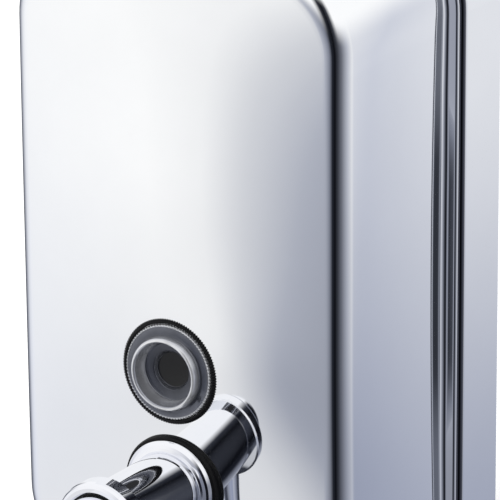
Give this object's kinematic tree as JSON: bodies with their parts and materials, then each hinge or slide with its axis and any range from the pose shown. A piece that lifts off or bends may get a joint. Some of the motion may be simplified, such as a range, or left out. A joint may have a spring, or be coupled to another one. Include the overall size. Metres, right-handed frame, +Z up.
{
  "type": "wall mounted soap dispenser",
  "caption": "Wall mounted push soap dispenser: mirror steel body with a crowned front, round sight window, push button pump with a spout below, and a hinged filling lid.",
  "frame": {"origin": "centre of the four wall screws, on the wall plane", "axes": "+Z up, -Y towards the user, +Y into the wall"},
  "size_m": [0.111, 0.1055, 0.1907],
  "materials": {
    "mirror_steel": "mirror polished stainless sheet",
    "plain_steel": "plain zinc grey steel",
    "chrome_plate": "bright chrome plate",
    "clear_plastic": "clear moulded plastic",
    "black_rubber": "matt black rubber",
    "white_plastic": "natural white moulded plastic",
    "soft_tube": "milky soft tube",
    "spring_steel": "drawn spring wire",
    "lock_brass": "plain brass"
  },
  "bodies": {
    "bracket": {"wall_bracket": "plain_steel"},
    "dispenser": {"hanger_rails": "plain_steel", "back_plate": "plain_steel", "rear_housing": "mirror_steel", "front_cover": "mirror_steel", "filler_collar": "mirror_steel", "lock_catch": "plain_steel", "hinge_leaf": "plain_steel", "hinge_rivets": "plain_steel", "sight_lens": "clear_plastic", "sight_gasket": "black_rubber", "sight_washer": "black_rubber", "sight_nut": "white_plastic", "pump_collar": "chrome_plate", "pump_gasket": "black_rubber", "pump_barrel": "chrome_plate", "pump_washer": "black_rubber", "pump_nut": "white_plastic", "pump_head": "chrome_plate", "spout": "chrome_plate", "button_seal": "black_rubber", "rod_gland": "white_plastic", "return_spring": "spring_steel", "inlet_seat": "white_plastic", "inlet_valve": "black_rubber", "inlet_elbow": "white_plastic", "suction_tube": "soft_tube"},
    "lid": {"lid": "mirror_steel", "lid_gasket": "black_rubber", "lock_body": "chrome_plate", "lock_nut": "plain_steel", "hinge_pin": "plain_steel"},
    "lock": {"lock_plug": "lock_brass", "lock_cam": "plain_steel", "cam_screw": "plain_steel"},
    "button": {"push_button": "chrome_plate", "piston_rod": "plain_steel", "piston": "white_plastic", "piston_seal": "black_rubber"}
  },
  "joints": [
    {"name": "lift_off", "type": "slide", "parent": "bracket", "child": "dispenser", "axis": [0, 0, 1], "range_m": [0, 0.052]},
    {"name": "lid_hinge", "type": "hinge", "parent": "dispenser", "child": "lid", "pos_m": [0, -0.0052, 0.0949], "axis": [-1, 0, 0], "range_deg": [0, 90]},
    {"name": "lock_turn", "type": "hinge", "parent": "lid", "child": "lock", "pos_m": [0, -0.0364, 0.09], "axis": [0, 0, -1], "range_deg": [0, 90]},
    {"name": "button_press", "type": "slide", "parent": "dispenser", "child": "button", "axis": [0, 1, 0], "range_m": [0, 0.008], "stiffness_N_per_m": 700, "springref_m": -0.006, "deforming": ["return_spring"]}
  ]
}
